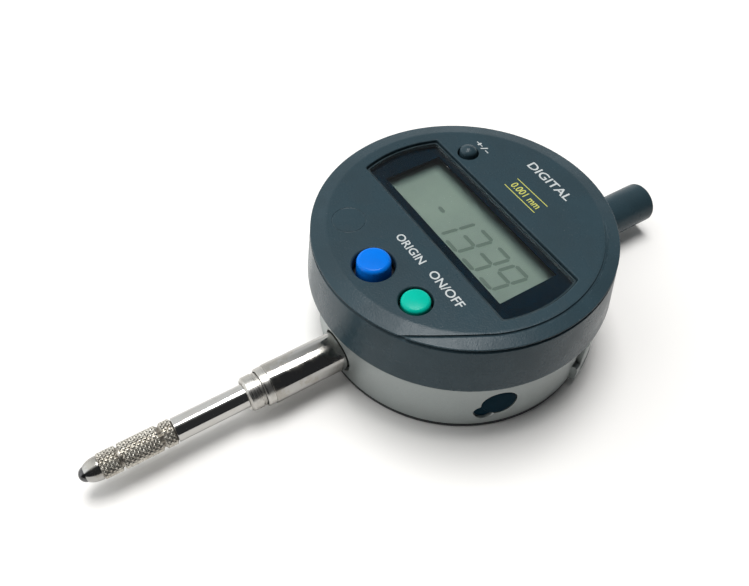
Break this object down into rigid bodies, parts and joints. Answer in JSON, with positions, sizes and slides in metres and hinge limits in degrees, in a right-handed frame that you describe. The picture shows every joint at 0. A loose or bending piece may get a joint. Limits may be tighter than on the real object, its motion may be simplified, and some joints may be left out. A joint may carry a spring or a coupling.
{
  "type": "digital plunger indicator",
  "caption": "Digital plunger dial gauge with a round body, window display, push buttons, clamping stem and spring-loaded spindle with a knurled contact point.",
  "frame": {"origin": "middle of the flat back face, under the centre of the round body", "axes": "+Z out of the display face, +Y from the contact point towards the end cap, +X the way the display reads"},
  "size_m": [0.0602, 0.1332, 0.0292],
  "materials": {
    "slate_plastic": "fine satin moulded plastic",
    "black_plastic": "satin moulded plastic",
    "silver_case": "satin silver paint",
    "polished_steel": "polished hardened steel",
    "machined_steel": "machined and knurled steel",
    "carbide": "lapped carbide",
    "brass": "turned brass",
    "rubber": "soft black rubber",
    "clear_window": "clear moulded window",
    "scale_glass": "glass scale",
    "lcd": "grey-green liquid crystal panel",
    "circuit_board": "green solder mask",
    "blue_plastic": "smooth bright blue",
    "green_plastic": "smooth sea green"
  },
  "bodies": {
    "case": {"front_cover": "slate_plastic", "middle_case": "silver_case", "back_cover": "black_plastic", "back_screw_1": "machined_steel", "back_screw_2": "machined_steel", "back_screw_3": "machined_steel", "back_screw_4": "machined_steel", "stem": "polished_steel", "stem_nose": "polished_steel", "lower_bush": "brass", "upper_bush": "brass", "cap_sleeve": "machined_steel", "buffer_washer": "rubber", "guide_rail": "polished_steel", "spring_post": "polished_steel", "return_spring": "polished_steel", "display_window": "clear_window", "display_mask": "black_plastic", "lcd_panel": "lcd", "lcd_holder": "black_plastic", "connector_strip_front": "rubber", "connector_strip_rear": "rubber", "main_board": "circuit_board", "board_screw_1": "machined_steel", "board_screw_2": "machined_steel", "processor": "black_plastic", "encoder_board": "circuit_board", "encoder_chip": "black_plastic", "origin_switch": "black_plastic", "power_switch": "black_plastic", "sign_switch": "black_plastic", "data_connector": "black_plastic", "battery_terminal_plus": "brass", "battery_terminal_minus": "brass"},
    "plunger": {"spindle": "polished_steel", "knurled_sleeve": "machined_steel", "contact_point": "machined_steel", "contact_ball": "carbide", "scale_carriage": "machined_steel", "carriage_screw": "machined_steel", "main_scale": "scale_glass", "stop_ring": "machined_steel", "spindle_end_screw": "machined_steel", "spring_hook_post": "polished_steel"},
    "origin_key": {"origin_button": "blue_plastic"},
    "power_key": {"power_button": "green_plastic"},
    "sign_key": {"sign_button": "slate_plastic"},
    "end_cap": {"spindle_cap": "slate_plastic"},
    "port_plug": {"data_port_cover": "black_plastic"},
    "battery_drawer": {"battery_cover": "black_plastic", "battery": "polished_steel"}
  },
  "joints": [
    {"name": "plunger_slide", "type": "slide", "parent": "case", "child": "plunger", "axis": [0, 1, 0], "range_m": [0, 0.0127], "stiffness_N_per_m": 35, "springref_m": -0.012, "deforming": ["return_spring"]},
    {"name": "origin_press", "type": "slide", "parent": "case", "child": "origin_key", "axis": [0, 0, -1], "range_m": [0, 0.0006], "stiffness_N_per_m": 800, "springref_m": -0.0002},
    {"name": "power_press", "type": "slide", "parent": "case", "child": "power_key", "axis": [0, 0, -1], "range_m": [0, 0.0006], "stiffness_N_per_m": 800, "springref_m": -0.0002},
    {"name": "sign_press", "type": "slide", "parent": "case", "child": "sign_key", "axis": [0, 0, -1], "range_m": [0, 0.0006], "stiffness_N_per_m": 800, "springref_m": -0.0002},
    {"name": "end_cap_removal", "type": "slide", "parent": "case", "child": "end_cap", "axis": [0, 1, 0], "range_m": [0, 0.026]},
    {"name": "port_cover_removal", "type": "slide", "parent": "case", "child": "port_plug", "axis": [0.9494, -0.314, 0], "range_m": [0, 0.008]},
    {"name": "battery_drawer_slide", "type": "slide", "parent": "case", "child": "battery_drawer", "axis": [0.8192, 0.5736, 0], "range_m": [0, 0.017]}
  ]
}
